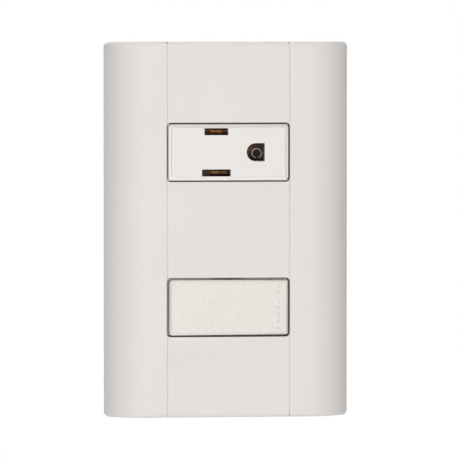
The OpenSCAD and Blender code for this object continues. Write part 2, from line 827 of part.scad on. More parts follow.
module socket_clamp_plates() color(steel) translate([0, 0, socket_z]) {
    for (s = [-1, 1]) clamp_plate(-terminal_x, s * slot_z, strip_level);
    clamp_plate(terminal_x, slot_z, earth_level);
}

module socket_housing_screws() color(steel) translate([0, 0, socket_z]) {
    for (s = [-1, 1]) housing_screw(housing_screw_x, s * housing_screw_z, socket_back);
}

// Switch module, drawn about its own middle

// Turns a piece of the key about the pivot line
module key_turn(angle) {
    translate([0, pivot_y, switch_z]) rotate([0, 0, angle]) translate([0, -pivot_y, 0]) children();
}

module key_shell() {
    inside = key_y + key_wall;
    difference() {
        soft_block(front_w, front_h, front_r, key_edge_r, [key_y, key_y + key_depth]);
        block([key_skirt - front_w / 2, front_w / 2 - key_skirt], [inside, key_y + key_depth + past],
            [-skirt_in_z, skirt_in_z]);
    }
    // Cross ribs
    for (x = [-key_rib_x, key_rib_x]) {
        block([x - key_rib_t / 2, x + key_rib_t / 2], [inside - play, inside + key_rib_h],
            [-skirt_in_z - play, skirt_in_z + play]);
    }
}

module key_cheek(s) {
    // Ear that reaches back round the pivot, with the trunnion on its inner side
    z = s > 0 ? [skirt_in_z, front_h / 2] : [-front_h / 2, -skirt_in_z];
    translate([0, pivot_y, z[0]]) cylinder(h = key_skirt, r = cheek_r);
    block([-cheek_r, cheek_r], [key_y + key_edge_r, pivot_y], z);
    inner = bearing_out - bearing_t + trunnion_short;
    pin = s > 0 ? [inner, skirt_in_z + play] : [-skirt_in_z - play, -inner];
    translate([0, pivot_y, pin[0]]) cylinder(h = pin[1] - pin[0], r = trunnion_d / 2);
}

module rocker_key() color(white) key_turn(key_angle) {
    bore_y = guide_y[0] - spring_len;
    difference() {
        union() {
            key_shell();
            for (s = [-1, 1]) key_cheek(s);
            rod_y(stem_d / 2, [key_y + key_wall - play, stem_end]);
        }
        rod_y(plunger_d / 2 + plunger_clear, [bore_y, stem_end + past]);
    }
    pip_ball = (pip_d * pip_d / 4 + pip_rise * pip_rise) / (2 * pip_rise);
    sink = pip_ball - pip_rise;
    for (i = [0 : pip_count - 1]) {
        translate([pip_x, key_y + sink, (i - (pip_count - 1) / 2) * pip_pitch]) sphere(pip_ball, $fn = 24);
    }
}

module switch_front() color(white) translate([0, 0, switch_z]) {
    well_w = front_w / 2 + well_gap;
    well_h = front_h / 2 + well_gap;
    difference() {
        union() {
            seen_from_front([flange_front, frame_front]) round_rect(flange_w, flange_h, flange_r);
            seen_from_front([frame_front - play, split_y]) square([body_w, body_h], center = true);
            latches();
        }
        block([-well_w, well_w], [flange_front - past, well_floor_y], [-well_h, well_h]);
        block([-stem_room, stem_room], [flange_front - past, cavity_y + past], [-well_h, well_h]);
        difference() {
            block([housing_wall - body_w / 2, body_w / 2 - housing_wall], [cavity_y, split_y + past],
                [housing_wall - body_h / 2, body_h / 2 - housing_wall]);
            for (s = [-1, 1]) translate([s * switch_screw_x, 0, s * switch_screw_z]) rod_y(boss_r, [cavity_y - past, split_y + past]);
        }
        for (s = [-1, 1]) {
            translate([s * switch_screw_x, 0, s * switch_screw_z])
                rod_y(joint_screw_d / 2 + play, [pilot_y, split_y + past]);
        }
    }
    // Bearing walls for the key's trunnions
    outer_r = bearing_r + bearing_wall;
    foot_x = stem_room + bearing_foot;
    for (s = [-1, 1]) {
        z = s > 0 ? [bearing_out - bearing_t, bearing_out] : [-bearing_out, bearing_t - bearing_out];
        difference() {
            union() {
                translate([0, pivot_y, z[0]]) cylinder(h = bearing_t, r = outer_r);
                seen_from_top(z) polygon([
                    [-outer_r, pivot_y],
                    [outer_r, pivot_y],
                    [foot_x, well_floor_y],
                    [foot_x, cavity_y],
                    [-foot_x, cavity_y],
                    [-foot_x, well_floor_y]
                ]);
            }
            translate([0, pivot_y, z[0] - past]) cylinder(h = bearing_t + 2 * past, r = bearing_r);
        }
    }
}

module switch_base() color(base_grey) translate([0, 0, switch_z]) {
    difference() {
        rear_block(switch_back);
        block([-strip_end - pocket_gap, strip_end + pocket_gap], [split_y - past, strip_level], [-chamber_w / 2, chamber_w / 2]);
        for (s = [-1, 1]) {
            terminal_cut(s * terminal_x, 0, strip_level, switch_back, -1);
            housing_screw_cut(s * switch_screw_x, s * switch_screw_z, switch_back);
        }
    }
}

module plunger() color(base_grey) key_turn(key_angle) {
    rod_y(plunger_d / 2, guide_y);
    rod_y(nose_d / 2, [guide_y[0], nose_y]);
    translate([0, nose_y, 0]) sphere(nose_d / 2);
}

// Points of one ring of the spring's wire at turn t
function coil_ring(t, r, rise, wire, sides) = [
    for (k = [0 : sides - 1])
        let (a = 360 * k / sides, rr = r + wire * cos(a))
            [rr * cos(360 * t), rise * t + wire * sin(a), rr * sin(360 * t)]
];

module coil(r, len, wire, turns) {
    sides = 6;
    steps = turns * 16;
    rise = (len - 2 * wire) / turns;
    points = [for (i = [0 : steps]) each coil_ring(i / 16, r, rise, wire, sides)];
    walls = [
        for (i = [0 : steps - 1], k = [0 : sides - 1])
            let (a = i * sides + k, b = i * sides + (k + 1) % sides)
                [a, b, b + sides, a + sides]
    ];
    ends = [[for (k = [sides - 1 : -1 : 0]) k], [for (k = [0 : sides - 1]) steps * sides + k]];
    translate([0, wire, 0]) polyhedron(points, concat(walls, ends));
}

module plunger_spring() color(steel) key_turn(key_angle) {
    translate([0, guide_y[0] - spring_len + play, 0])
        coil(plunger_d / 2 - spring_wire / 2, spring_len - 2 * play, spring_wire / 2, spring_turns);
}

// Turns a piece of the seesaw about the knife edge
module seesaw_turn(angle) {
    translate([0, knife_y, switch_z]) rotate([0, 0, angle]) translate([0, -knife_y, 0]) children();
}

module seesaw_contact() color(bronze) seesaw_turn(-seesaw_angle) {
    difference() {
        seen_from_front([seesaw_top, seesaw_top + seesaw_t])
            translate([(tip_x + tip_d / 2 - arm_free) / 2, 0])
                round_rect(arm_free + tip_x + tip_d / 2, seesaw_w, seesaw_r);
        translate([0, knife_y, 0]) cylinder(h = 2 * seesaw_w, r = knife_r + knife_clear, center = true);
        translate([tip_x, 0, 0]) rod_y(tip_d / 4 + play, [seesaw_top - past, seesaw_top + seesaw_t + past]);
    }
}

module moving_tip() color(silver) seesaw_turn(-seesaw_angle) {
    bottom = seesaw_top + seesaw_t;
    translate([tip_x, 0, 0]) {
        rod_y(tip_d / 4, [seesaw_top, bottom + play]);
        rod_y(tip_d / 2, [bottom, tip_end - tip_dome]);
        intersection() {
            rod_y(tip_d / 2, [tip_end - tip_dome - play, tip_end + past]);
            translate([0, tip_end - tip_ball, 0]) sphere(tip_ball);
        }
    }
}

module common_terminal() color(bronze) translate([0, 0, switch_z]) {
    upright = seesaw_w - upright_short;
    difference() {
        block([-strip_end, common_end], [strip_front, strip_level], [-strip_w / 2, strip_w / 2]);
        terminal_hole(-terminal_x, 0, strip_level);
    }
    block([-knife_r, knife_r], [knife_y, strip_front + play], [-upright / 2, upright / 2]);
    translate([0, knife_y, 0]) cylinder(h = upright, r = knife_r, center = true);
}

module load_terminal() color(bronze) translate([0, 0, switch_z]) {
    difference() {
        block([tip_x - strip_w / 2, strip_end], [strip_front, strip_level], [-strip_w / 2, strip_w / 2]);
        terminal_hole(terminal_x, 0, strip_level);
        translate([tip_x, 0, 0]) rod_y(tip_d / 4 + play, [strip_front - past, strip_level + past]);
    }
}

module fixed_tip() color(silver) translate([tip_x, 0, switch_z]) {
    rod_y(tip_d / 2, [tip_face, strip_front]);
    rod_y(tip_d / 4, [strip_front - play, strip_level]);
}

module switch_terminal_screws() color(brass) translate([0, 0, switch_z]) {
    for (s = [-1, 1]) terminal_screw(s * terminal_x, 0, strip_level, 20 + 50 * s);
}

module switch_clamp_plates() color(steel) translate([0, 0, switch_z]) {
    for (s = [-1, 1]) clamp_plate(s * terminal_x, 0, strip_level);
}

module switch_housing_screws() color(steel) translate([0, 0, switch_z]) {
    for (s = [-1, 1]) housing_screw(s * switch_screw_x, s * switch_screw_z, switch_back);
}

cover_plate();
support_frame();
box_screws();
socket_cover();
socket_base();
live_contact();
neutral_contact();
earth_contact();
earth_eyelet();
socket_terminal_screws();
earth_terminal_screw();
socket_clamp_plates();
socket_housing_screws();
rocker_key();
switch_front();
switch_base();
plunger();
plunger_spring();
seesaw_contact();
moving_tip();
common_terminal();
load_terminal();
fixed_tip();
switch_terminal_screws();
switch_clamp_plates();
switch_housing_screws();
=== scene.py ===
import json
import math

import bmesh
import bpy
from mathutils import Matrix, Vector


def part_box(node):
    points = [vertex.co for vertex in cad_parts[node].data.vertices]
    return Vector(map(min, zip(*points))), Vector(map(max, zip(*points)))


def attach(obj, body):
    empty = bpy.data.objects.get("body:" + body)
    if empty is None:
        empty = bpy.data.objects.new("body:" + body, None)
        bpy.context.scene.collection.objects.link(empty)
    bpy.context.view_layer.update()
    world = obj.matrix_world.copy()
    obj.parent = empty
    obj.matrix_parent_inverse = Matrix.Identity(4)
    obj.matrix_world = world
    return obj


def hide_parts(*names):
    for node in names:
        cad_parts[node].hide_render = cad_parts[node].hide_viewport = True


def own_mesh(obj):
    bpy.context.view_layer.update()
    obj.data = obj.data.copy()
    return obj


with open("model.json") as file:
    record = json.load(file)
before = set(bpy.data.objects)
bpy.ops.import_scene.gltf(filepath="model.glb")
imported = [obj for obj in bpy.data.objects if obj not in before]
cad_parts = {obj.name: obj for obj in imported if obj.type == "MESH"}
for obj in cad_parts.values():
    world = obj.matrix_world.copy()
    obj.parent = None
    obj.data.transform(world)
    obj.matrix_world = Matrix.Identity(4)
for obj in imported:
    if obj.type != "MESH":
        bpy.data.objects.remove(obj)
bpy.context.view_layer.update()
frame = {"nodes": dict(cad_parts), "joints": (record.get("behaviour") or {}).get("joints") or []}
cadNodes = frame["nodes"]
print("plate and modules loaded:", len(cadNodes), "nodes")


# Camera, a little to the left of the plate and a little above it

cameraSetup = {
    "azimuth": -6.43,
    "elevation": 2.33,
    "distance": 1.5,
    "lens": 382.2,
    "aim": (0.00017, -0.0094, 0.00027),
}


def placeCamera(setup):
    azimuth = math.radians(setup["azimuth"])
    elevation = math.radians(setup["elevation"])
    back = Vector((
        math.sin(azimuth) * math.cos(elevation),
        -math.cos(azimuth) * math.cos(elevation),
        math.sin(elevation),
    ))
    data = bpy.data.cameras.new("plateCamera")
    data.lens = setup["lens"]
    data.clip_start = 0.05
    data.clip_end = 10
    camera = bpy.data.objects.new("plateCamera", data)
    camera.location = Vector(setup["aim"]) + back * setup["distance"]
    camera.rotation_euler = (-back).to_track_quat("-Z", "Y").to_euler()
    bpy.context.collection.objects.link(camera)
    bpy.context.scene.camera = camera


placeCamera(cameraSetup)
print("camera placed")


# Lamps: a soft box in front on the left, a broad fill, one above,
# and one behind for the views of the back

lampSetup = [
    {"name": "softBox", "from": (-0.16, -1.1, -0.04), "size": 0.34, "power": 5.0},
    {"name": "frontFill", "from": (0.02, -1.2, -0.05), "size": 0.6, "power": 5.0},
    {"name": "topStrip", "from": (0.0, -0.04, 1.1), "size": 0.40, "power": 5.5},
    {"name": "backFill", "from": (-0.35, 1.1, 0.55), "size": 0.9, "power": 9.5},
]
roomLight = {"ambient": 0.05, "ambientColour": (0.95, 1.0, 0.97), "background": 1.0}


def addLamp(setup):
    data = bpy.data.lights.new(setup["name"], "AREA")
    data.shape = "SQUARE"
    data.size = setup["size"]
    data.energy = setup["power"]
    lamp = bpy.data.objects.new(setup["name"], data)
    lamp.location = setup["from"]
    lamp.rotation_euler = (-lamp.location).to_track_quat("-Z", "Y").to_euler()
    lamp.visible_camera = False
    bpy.context.collection.objects.link(lamp)


def lightRoom(setup):
    world = bpy.data.worlds.new("studio")
    world.use_nodes = True
    nodes = world.node_tree.nodes
    links = world.node_tree.links
    nodes.clear()
    output = nodes.new("ShaderNodeOutputWorld")
    mix = nodes.new("ShaderNodeMixShader")
    ambient = nodes.new("ShaderNodeBackground")
    backdrop = nodes.new("ShaderNodeBackground")
    path = nodes.new("ShaderNodeLightPath")
    cameraOrGlossy = nodes.new("ShaderNodeMath")
    seen = nodes.new("ShaderNodeMath")
    cameraOrGlossy.operation = "MAXIMUM"
    seen.operation = "MAXIMUM"
    ambient.inputs["Color"].default_value = (*setup["ambientColour"], 1)
    ambient.inputs["Strength"].default_value = setup["ambient"]
    backdrop.inputs["Color"].default_value = (1, 1, 1, 1)
    backdrop.inputs["Strength"].default_value = setup["background"]
    links.new(path.outputs["Is Camera Ray"], cameraOrGlossy.inputs[0])
    links.new(path.outputs["Is Glossy Ray"], cameraOrGlossy.inputs[1])
    links.new(cameraOrGlossy.outputs[0], seen.inputs[0])
    links.new(path.outputs["Is Transmission Ray"], seen.inputs[1])
    links.new(seen.outputs[0], mix.inputs[0])
    links.new(ambient.outputs[0], mix.inputs[1])
    links.new(backdrop.outputs[0], mix.inputs[2])
    links.new(mix.outputs[0], output.inputs["Surface"])
    bpy.context.scene.world = world


for lamp in lampSetup:
    addLamp(lamp)
lightRoom(roomLight)
bpy.context.scene.view_settings.view_transform = "Standard"
print("lamps and room set")


# Materials

def startMaterial(name):
    material = bpy.data.materials.new(name)
    material.use_nodes = True
    nodes = material.node_tree.nodes
    nodes.clear()
    output = nodes.new("ShaderNodeOutputMaterial")
    shader = nodes.new("ShaderNodeBsdfPrincipled")
    material.node_tree.links.new(shader.outputs["BSDF"], output.inputs["Surface"])
    return material, shader


def addNoise(material, scale, detail=2.0, stretch=(1, 1, 1)):
    nodes = material.node_tree.nodes
    links = material.node_tree.links
    place = nodes.new("ShaderNodeTexCoord")
    mapping = nodes.new("ShaderNodeMapping")
    noise = nodes.new("ShaderNodeTexNoise")
    mapping.inputs["Scale"].default_value = stretch
    noise.inputs["Scale"].default_value = scale
    noise.inputs["Detail"].default_value = detail
    links.new(place.outputs["Object"], mapping.inputs["Vector"])
    links.new(mapping.outputs["Vector"], noise.inputs["Vector"])
    return noise


def addRamp(material, source, low, high, start=0.3, end=0.7):
    nodes = material.node_tree.nodes
    spread = nodes.new("ShaderNodeMapRange")
    spread.inputs["From Min"].default_value = start
    spread.inputs["From Max"].default_value = end
    spread.inputs["To Min"].default_value = low
    spread.inputs["To Max"].default_value = high
    material.node_tree.links.new(source, spread.inputs["Value"])
    return spread.outputs["Result"]


def addColourMix(material, source, first, second):
    nodes = material.node_tree.nodes
    mix = nodes.new("ShaderNodeMix")
    mix.data_type = "RGBA"
    mix.inputs["A"].default_value = (*first, 1)
    mix.inputs["B"].default_value = (*second, 1)
    material.node_tree.links.new(source, mix.inputs["Factor"])
    return mix.outputs["Result"]


def addBump(material, source, distance, strength=1.0, under=None):
    nodes = material.node_tree.nodes
    links = material.node_tree.links
    bump = nodes.new("ShaderNodeBump")
    bump.inputs["Distance"].default_value = distance
    bump.inputs["Strength"].default_value = strength
    links.new(source, bump.inputs["Height"])
    if under is not None:
        links.new(under, bump.inputs["Normal"])
    return bump.outputs["Normal"]


def paintShadeBand(material, band, colour):
    # Painted shade: a darker tone between two depths, in a ring round the same middle on both
    # modules
    nodes = material.node_tree.nodes
    links = material.node_tree.links
    place = nodes.new("ShaderNodeTexCoord")
    parts = nodes.new("ShaderNodeSeparateXYZ")
    links.new(place.outputs["Object"], parts.inputs[0])

    def calc(operation, first, second=0.0):
        node = nodes.new("ShaderNodeMath")
        node.operation = operation
        for index, value in enumerate((first, second)):
            if isinstance(value, float):
                node.inputs[index].default_value = value
            else:
                links.new(value, node.inputs[index])
        return node.outputs[0]

    deep = addRamp(material, parts.outputs["Y"], 0, 1, *band["front"])
    shallow = addRamp(material, parts.outputs["Y"], 1, 0, *band["back"])
    fromLeft = calc("GREATER_THAN", parts.outputs["X"], band["left"])
    fromRight = calc("LESS_THAN", parts.outputs["X"], band["right"])
    fromMiddle = calc("SUBTRACT", calc("ABSOLUTE", parts.outputs["Z"]), band["middle"])
    along = calc("LESS_THAN", calc("ABSOLUTE", fromMiddle), band["halfHeight"])
    besides = calc("GREATER_THAN", calc("ABSOLUTE", parts.outputs["X"]), band["innerWidth"])
    above = calc("GREATER_THAN", calc("ABSOLUTE", fromMiddle), band["innerHeight"])
    along = calc("MULTIPLY", along, calc("MAXIMUM", besides, above))
    paintedShadeMask = calc("MULTIPLY", calc("MULTIPLY", deep, shallow), along)
    paintedShadeMask = calc("MULTIPLY", paintedShadeMask, calc("MULTIPLY", fromLeft, fromRight))
    mix = nodes.new("ShaderNodeMix")
    mix.data_type = "RGBA"
    links.new(paintedShadeMask, mix.inputs["Factor"])
    links.new(colour, mix.inputs["A"])
    mix.inputs["B"].default_value = (*band["paintedShadeColour"], 1)
    return mix.outputs["Result"]


def mouldedPlastic(name, look):
    # Satin moulded plastic: even colour with a faint cloud in it, fine spark-eroded grain
    material, shader = startMaterial(name)
    links = material.node_tree.links
    cloud = addNoise(material, look["cloudScale"], 3.0)
    grain = addNoise(material, look["grainScale"], 4.0)
    sink = addNoise(material, look["sinkScale"], 1.0)
    fade = addRamp(material, cloud.outputs["Fac"], 0, 1)
    colour = addColourMix(material, fade, look["colour"], look["shade"])
    # Painted shade in gaps, on the rim and in deep ends, where the look gives it
    for band in look.get("paintedShadeBands", ()):
        colour = paintShadeBand(material, band, colour)
    links.new(colour, shader.inputs["Base Color"])
    gloss = addRamp(material, grain.outputs["Fac"], *look["roughness"])
    links.new(gloss, shader.inputs["Roughness"])
    wave = addBump(material, sink.outputs["Fac"], look["sinkDepth"])
    fine = addBump(material, grain.outputs["Fac"], look["grainDepth"], 1.0, wave)
    links.new(fine, shader.inputs["Normal"])
    shader.inputs["IOR"].default_value = 1.5
    shader.inputs["Specular IOR Level"].default_value = look["specular"]
    return material


def stampedMetal(name, look):
    # Rolled and stamped strip: rolling lines along one axis, darker tarnish marks
    material, shader = startMaterial(name)
    links = material.node_tree.links
    tarnish = addNoise(material, look["tarnishScale"], 4.0)
    lines = addNoise(material, look["lineScale"], 3.0, look["lineStretch"])
    fade = addRamp(material, tarnish.outputs["Fac"], 0, 1, 0.35, 0.7)
    colour = addColourMix(material, fade, look["colour"], look["shade"])
    # Painted shade in deep ends of slots and bores, where the look gives it
    for band in look.get("paintedShadeBands", ()):
        colour = paintShadeBand(material, band, colour)
    links.new(colour, shader.inputs["Base Color"])
    gloss = addRamp(material, lines.outputs["Fac"], *look["roughness"])
    links.new(gloss, shader.inputs["Roughness"])
    links.new(addBump(material, lines.outputs["Fac"], look["lineDepth"]), shader.inputs["Normal"])
    shader.inputs["Metallic"].default_value = 1.0
    return material


# Painted shade: dark tones inside the window gaps, a greyer tone on the socket's rim and dark
# tones in the deep ends of holes

# Painted shade, nearly black, deep in the gaps round the windows, the modules and the key
windowGapPaintedShade = {
    "front": (-0.00865, -0.0082), "back": (-0.0076, -0.00745), "paintedShadeColour": (0.020, 0.019, 0.018),
    "left": -0.0190, "right": 0.0190, "middle": 0.02387, "halfHeight": 0.0096,
    "innerWidth": 0.0186, "innerHeight": 0.00872,
}
moduleGapPaintedShade = {
    **windowGapPaintedShade, "front": (-0.0090, -0.0082), "back": (-0.0030, -0.0028),
    "left": -0.0194, "right": 0.0194,
}
keyGapPaintedShade = {
    **moduleGapPaintedShade, "front": (-0.0082, -0.0072),
    "innerWidth": 0.0182, "innerHeight": 0.0090,
}
# Painted shade: a greyer tone on the top and right of the socket's rim, standing in for a sloped
# rim
rimTopPaintedShade = {
    "front": (-0.0098, -0.0095), "back": (-0.0092, -0.0090), "paintedShadeColour": (0.68, 0.655, 0.63),
    "left": -0.0186, "right": 0.0186, "middle": 0.03215, "halfHeight": 0.00045,
    "innerWidth": 0.0, "innerHeight": 0.0,
}
rimRightPaintedShade = {**rimTopPaintedShade, "left": 0.0178, "middle": 0.0235, "halfHeight": 0.0081}
# Painted shade, nearly black, at the deep end of the earth hole in the socket base
boreEndPaintedShade = {
    "front": (0.0142, 0.0146), "back": (0.0152, 0.0154), "paintedShadeColour": (0.02, 0.02, 0.017),
    "left": 0.0090, "right": 0.0135, "middle": 0.0231, "halfHeight": 0.0025,
    "innerWidth": 0.0, "innerHeight": 0.0,
}
plasticLooks = {
    "plateWhite": {
        "colour": (0.790, 0.755, 0.730), "shade": (0.778, 0.742, 0.716),
        "roughness": (0.48, 0.58), "specular": 0.25, "cloudScale": 40,
        "grainScale": 2600, "grainDepth": 0.000006, "sinkScale": 55, "sinkDepth": 0.00003,
        "paintedShadeBands": [windowGapPaintedShade],
    },
    "moduleWhite": {
        "colour": (0.785, 0.752, 0.722), "shade": (0.775, 0.741, 0.709),
        "roughness": (0.42, 0.50), "specular": 0.4, "cloudScale": 60,
        "grainScale": 3200, "grainDepth": 0.000004, "sinkScale": 70, "sinkDepth": 0.00002,
        "paintedShadeBands": [moduleGapPaintedShade, rimTopPaintedShade, rimRightPaintedShade],
    },
    "keyWhite": {
        "colour": (0.838, 0.799, 0.754), "shade": (0.735, 0.691, 0.642),
        "roughness": (0.42, 0.50), "specular": 0.4, "cloudScale": 2100,
        "grainScale": 2400, "grainDepth": 0.00002, "sinkScale": 70, "sinkDepth": 0.00002,
        "paintedShadeBands": [keyGapPaintedShade],
    },
    "frameGrey": {
        "colour": (0.60, 0.59, 0.57), "shade": (0.56, 0.55, 0.53),
        "roughness": (0.50, 0.62), "specular": 0.4, "cloudScale": 50,
        "grainScale": 1800, "grainDepth": 0.000012, "sinkScale": 60, "sinkDepth": 0.00005,
    },
    "housingIvory": {
        "colour": (0.70, 0.67, 0.62), "shade": (0.66, 0.63, 0.57),
        "roughness": (0.46, 0.58), "specular": 0.4, "cloudScale": 70,
        "grainScale": 2000, "grainDepth": 0.000010, "sinkScale": 80, "sinkDepth": 0.00004,
        "paintedShadeBands": [boreEndPaintedShade],
    },
}
everywhere = {
    "left": -0.05, "right": 0.05, "middle": 0.0, "halfHeight": 0.1,
    "innerWidth": 0.0, "innerHeight": 0.0,
}
# Painted shade on the strip floor at the deep left end of the slots, beside the contact leaves
contactEndPaintedShade = {
    **everywhere, "right": -0.0034, "front": (0.006, 0.0087), "back": (0.0092, 0.0094),
    "paintedShadeColour": (0.05, 0.035, 0.022),
}
# Painted shade, nearly black, deep inside the rivet's bore
rivetBorePaintedShade = {
    **everywhere, "front": (0.0117, 0.0121), "back": (0.03, 0.031),
    "paintedShadeColour": (0.02, 0.02, 0.017),
}
metalLooks = {
    "phosphorBronze": {
        "colour": (0.42, 0.20, 0.075), "shade": (0.18, 0.08, 0.03),
        "roughness": (0.34, 0.50), "tarnishScale": 260,
        "lineScale": 900, "lineStretch": (0.08, 1, 1), "lineDepth": 0.000006,
    },
    "liveBronze": {
        "colour": (0.42, 0.185, 0.062), "shade": (0.13, 0.057, 0.020),
        "roughness": (0.34, 0.50), "tarnishScale": 700,
        "lineScale": 900, "lineStretch": (0.08, 1, 1), "lineDepth": 0.000006,
        "paintedShadeBands": [contactEndPaintedShade],
    },
    # Painted shade: a darker copy of the live contact's bronze, for the neutral contact in the
    # lower slot
    "neutralBronzePaintedShade": {
        "colour": (0.31, 0.148, 0.056), "shade": (0.085, 0.041, 0.018),
        "roughness": (0.34, 0.50), "tarnishScale": 700,
        "lineScale": 900, "lineStretch": (0.08, 1, 1), "lineDepth": 0.000006,
        "paintedShadeBands": [contactEndPaintedShade],
    },
    # Painted shade: bronze made dark for the earth contact, which lies deep in the earth hole
    "earthBronzePaintedShade": {
        "colour": (0.080, 0.047, 0.031), "shade": (0.036, 0.023, 0.016),
        "roughness": (0.38, 0.55), "tarnishScale": 320,
        "lineScale": 900, "lineStretch": (0.08, 1, 1), "lineDepth": 0.000006,
    },
    "brassScrew": {
        "colour": (0.80, 0.62, 0.30), "shade": (0.66, 0.48, 0.21),
        "roughness": (0.24, 0.38), "tarnishScale": 500,
        "lineScale": 1500, "lineStretch": (1, 1, 1), "lineDepth": 0.000004,
    },
    "earthGreen": {
        "colour": (0.10, 0.40, 0.17), "shade": (0.07, 0.29, 0.12),
        "roughness": (0.30, 0.45), "tarnishScale": 500,
        "lineScale": 1500, "lineStretch": (1, 1, 1), "lineDepth": 0.000004,
    },
    "zincSteel": {
        "colour": (0.66, 0.67, 0.69), "shade": (0.52, 0.53, 0.56),
        "roughness": (0.26, 0.42), "tarnishScale": 420,
        "lineScale": 1600, "lineStretch": (1, 1, 1), "lineDepth": 0.000005,
    },
    "tinnedBrass": {
        "colour": (0.80, 0.77, 0.70), "shade": (0.66, 0.62, 0.55),
        "roughness": (0.34, 0.48), "tarnishScale": 600,
        "lineScale": 1800, "lineStretch": (1, 1, 1), "lineDepth": 0.000004,
        "paintedShadeBands": [rivetBorePaintedShade],
    },
    "contactSilver": {
        "colour": (0.86, 0.85, 0.82), "shade": (0.70, 0.68, 0.63),
        "roughness": (0.22, 0.36), "tarnishScale": 700,
        "lineScale": 1800, "lineStretch": (1, 1, 1), "lineDepth": 0.000003,
    },
}
finishes = {name: mouldedPlastic(name, look) for name, look in plasticLooks.items()}
finishes.update({name: stampedMetal(name, look) for name, look in metalLooks.items()})
print("finishes made:", ", ".join(sorted(finishes)))


# Finish and edge of each moulded or stamped piece

pieceFinish = {
    "cover_plate": ("plateWhite", 0.00008),
    "support_frame": ("frameGrey", 0.00012),
    "socket_cover": ("moduleWhite", 0.00008),
    "socket_base": ("housingIvory", 0.00012),
    "live_contact": ("liveBronze", 0.00006),
    "neutral_contact": ("neutralBronzePaintedShade", 0.00006),
    "earth_contact": ("earthBronzePaintedShade", 0.00006),
    "earth_eyelet": ("tinnedBrass", 0.00005),
    "socket_clamp_plates": ("zincSteel", 0.00006),
    "rocker_key": ("keyWhite", 0.00006),
    "switch_front": ("moduleWhite", 0.00010),
    "switch_base": ("housingIvory", 0.00012),
    "plunger": ("housingIvory", 0.00006),
    "seesaw_contact": ("phosphorBronze", 0.00006),
    "moving_tip": ("contactSilver", 0.00004),
    "common_terminal": ("phosphorBronze", 0.00006),
    "load_terminal": ("phosphorBronze", 0.00006),
    "fixed_tip": ("contactSilver", 0.00004),
    "switch_clamp_plates": ("zincSteel", 0.00006),
}


mergeDistance = 0.000002
edgeBevel = {"segments": 2, "fold": math.radians(35)}


def finishNode(name, finish, edge):
    node = cadNodes[name]
    if node.material_slots:
        node.material_slots[0].link = "OBJECT"
        node.material_slots[0].material = finishes[finish]
    else:
        node.data.materials.append(finishes[finish])
    weld = node.modifiers.new("joinCorners", "WELD")
    weld.merge_threshold = mergeDistance
    bevel = node.modifiers.new("softEdge", "BEVEL")
    bevel.width = edge
    bevel.segments = edgeBevel["segments"]
    bevel.limit_method = "ANGLE"
    bevel.angle_limit = edgeBevel["fold"]
    bevel.use_clamp_overlap = True
    shading = node.modifiers.new("evenShading", "WEIGHTED_NORMAL")
    shading.keep_sharp = False


for name, (finish, edge) in pieceFinish.items():
    finishNode(name, finish, edge)
print("finished pieces:", len(pieceFinish))


# Geometry Nodes helpers

crispAngle = math.radians(38)


def startTree(name, inputs):
    # inputs: name, socket kind and value of each size that a user may change
    tree = bpy.data.node_groups.new(name, "GeometryNodeTree")
    tree.interface.new_socket("Places", in_out="INPUT", socket_type="NodeSocketGeometry")
    for label, kind, value in inputs:
        socket = tree.interface.new_socket(label, in_out="INPUT", socket_type=kind)
        if value is not None:
            socket.default_value = value
    tree.interface.new_socket("Made", in_out="OUTPUT", socket_type="NodeSocketGeometry")
    return tree, tree.nodes.new("NodeGroupInput"), tree.nodes.new("NodeGroupOutput")


def addMath(tree, operation, first, second=None, third=None):
    node = tree.nodes.new("ShaderNodeMath")
    node.operation = operation
    for index, value in enumerate((first, second, third)):
        if value is None:
            continue
        if isinstance(value, (int, float)):
            node.inputs[index].default_value = value
        else:
            tree.links.new(value, node.inputs[index])
    return node.outputs[0]


def addVector(tree, x=0.0, y=0.0, z=0.0):
    node = tree.nodes.new("ShaderNodeCombineXYZ")
    for index, value in enumerate((x, y, z)):
        if isinstance(value, (int, float)):
            node.inputs[index].default_value = value
        else:
            tree.links.new(value, node.inputs[index])
    return node.outputs[0]


def addMoved(tree, geometry, offset=None, scale=None):
    node = tree.nodes.new("GeometryNodeTransform")
    tree.links.new(geometry, node.inputs["Geometry"])
    if offset is not None:
        tree.links.new(offset, node.inputs["Translation"])
    if scale is not None:
        tree.links.new(scale, node.inputs["Scale"])
    return node.outputs["Geometry"]


def addRod(tree, radius, length, corners=24, rings=1, caps=1):
    # Rod along Z whose middle is at the origin
    node = tree.nodes.new("GeometryNodeMeshCylinder")
    node.inputs["Vertices"].default_value = corners
    node.inputs["Side Segments"].default_value = rings
    node.inputs["Fill Segments"].default_value = caps
    tree.links.new(radius, node.inputs["Radius"])
    tree.links.new(length, node.inputs["Depth"])
    return node.outputs["Mesh"]


